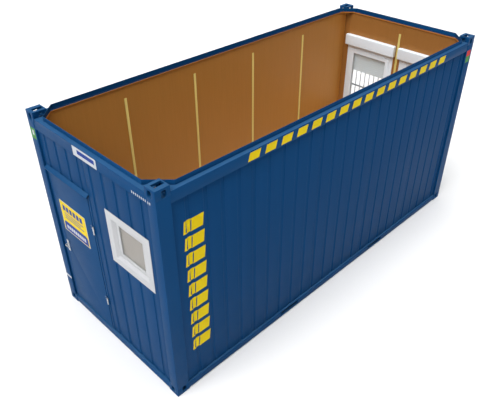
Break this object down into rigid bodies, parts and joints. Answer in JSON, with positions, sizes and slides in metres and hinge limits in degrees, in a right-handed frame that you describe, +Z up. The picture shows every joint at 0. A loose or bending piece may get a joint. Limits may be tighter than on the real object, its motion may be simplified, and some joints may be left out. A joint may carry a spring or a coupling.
{
  "type": "container cabin",
  "caption": "Blue steel cabin in container format with a grooved skin, corner castings, an outward door, windows with roller shutters, and an open top without its roof.",
  "frame": {"origin": "on the ground under the middle of the cabin, at the bottom centre of the corner castings", "axes": "+X along the length from the door end to the window end, +Y across the width, +Z up"},
  "size_m": [6.093, 2.435, 2.96],
  "materials": {
    "frame_paint": "satin gentian blue paint",
    "floor_steel": "galvanised",
    "board": "raw chipboard",
    "vinyl": "sealed vinyl floor covering",
    "cladding": "satin gentian blue coating",
    "lining": "light oak decor board",
    "trim": "light decor trim",
    "door_paint": "satin gentian blue paint",
    "bare_metal": "galvanised",
    "handle_metal": "satin",
    "window_plastic": "white",
    "hazy_glass": "obscured",
    "clear_glass": "clear",
    "shutter_plastic": "light grey"
  },
  "bodies": {
    "cabin": {"bottom_castings": "frame_paint", "top_castings": "frame_paint", "base_beam_front": "frame_paint", "base_beam_back": "frame_paint", "base_beam_left": "frame_paint", "base_beam_right": "frame_paint", "corner_posts": "frame_paint", "top_beam_front": "frame_paint", "top_beam_back": "frame_paint", "top_beam_left": "frame_paint", "top_beam_right": "frame_paint", "ring_corners": "frame_paint", "fork_pocket_plates": "floor_steel", "fork_pocket_sides": "floor_steel", "floor_joists": "floor_steel", "floor_underside": "floor_steel", "floor_board": "board", "floor_covering": "vinyl", "left_wall_panels": "cladding", "right_wall_panels": "cladding", "front_wall_panels": "cladding", "back_wall_panels": "cladding", "left_wall_lining": "lining", "right_wall_lining": "lining", "front_wall_lining": "lining", "back_wall_lining": "lining", "cover_strips": "trim", "skirting": "trim", "door_frame": "door_paint", "door_sill": "bare_metal", "door_hood": "door_paint", "hinge_frame_halves": "bare_metal", "front_window_frame": "window_plastic", "front_window_sash": "window_plastic", "front_window_glass": "hazy_glass", "back_window_frames": "window_plastic", "back_window_sashes": "window_plastic", "back_window_glass": "clear_glass", "shutter_boxes": "window_plastic", "shutter_curtains": "shutter_plastic", "shutter_guides": "window_plastic"},
    "door": {"door_leaf": "door_paint", "hinge_leaf_halves": "bare_metal", "handle_plates": "handle_metal"},
    "handle": {"door_handle": "handle_metal"}
  },
  "joints": [
    {"name": "door_hinge", "type": "hinge", "parent": "cabin", "child": "door", "pos_m": [-3.0205, 0.1375, 1.775], "axis": [0, 0, 1], "range_deg": [0, 110]},
    {"name": "handle_turn", "type": "hinge", "parent": "door", "child": "handle", "pos_m": [-3.0105, 0.9395, 1.13], "axis": [1, 0, 0], "range_deg": [0, 40], "stiffness_Nm_per_rad": 2, "springref_deg": -28.65}
  ]
}
